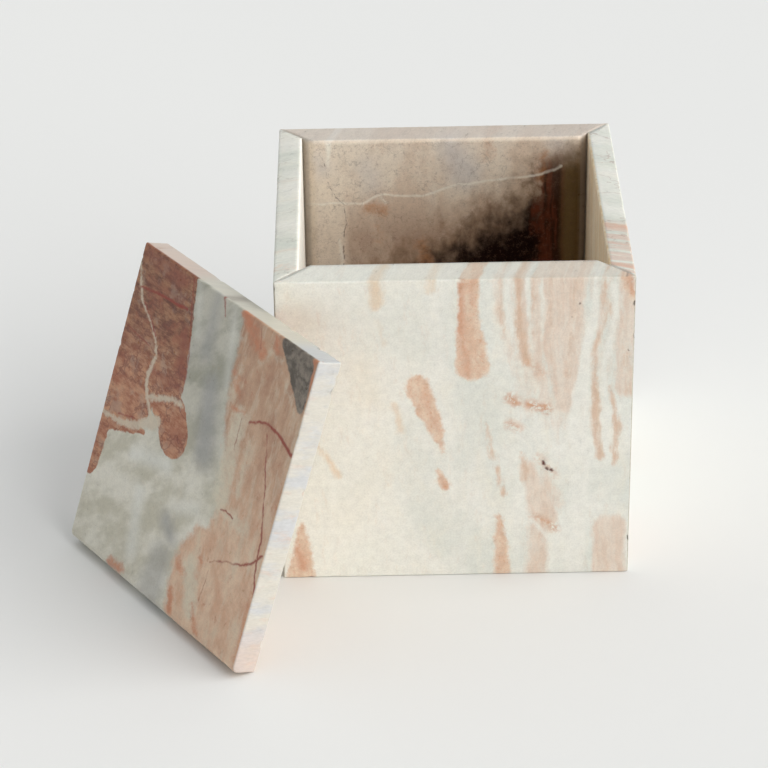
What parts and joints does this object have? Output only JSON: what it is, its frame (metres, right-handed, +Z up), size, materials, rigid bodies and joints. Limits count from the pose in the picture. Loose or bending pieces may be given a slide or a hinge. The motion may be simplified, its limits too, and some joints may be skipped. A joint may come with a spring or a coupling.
{
  "type": "square stone canister with a loose lid",
  "caption": "Square lidded canister of bonded polished marble slabs with mitred corners; the loose stepped lid stands leaning on the front-left corner.",
  "frame": {"origin": "middle of the canister's underside, on the surface that it stands on; the leaning lid isn't counted", "axes": "+Z up; -Y is the canister's front; +X is to the right seen from the front"},
  "size_m": [0.1628, 0.1507, 0.097],
  "materials": {
    "marble_box": "polished, cream and grey-green with peach and rose veins",
    "marble_lid": "polished, red-brown, grey-green and tan with pale veins",
    "stone_resin": "satin, colour-matched resin"
  },
  "bodies": {
    "box": {"front_wall": "marble_box", "back_wall": "marble_box", "left_wall": "marble_box", "right_wall": "marble_box", "base_slab": "marble_box", "mitre_resin": "stone_resin", "base_resin": "stone_resin"},
    "lid": {"lid_slab": "marble_lid"}
  },
  "joints": [
    {"name": "lid_lift", "type": "slide", "parent": "box", "child": "lid", "axis": [0, 0, 1], "range_m": [0, 0.12]}
  ]
}
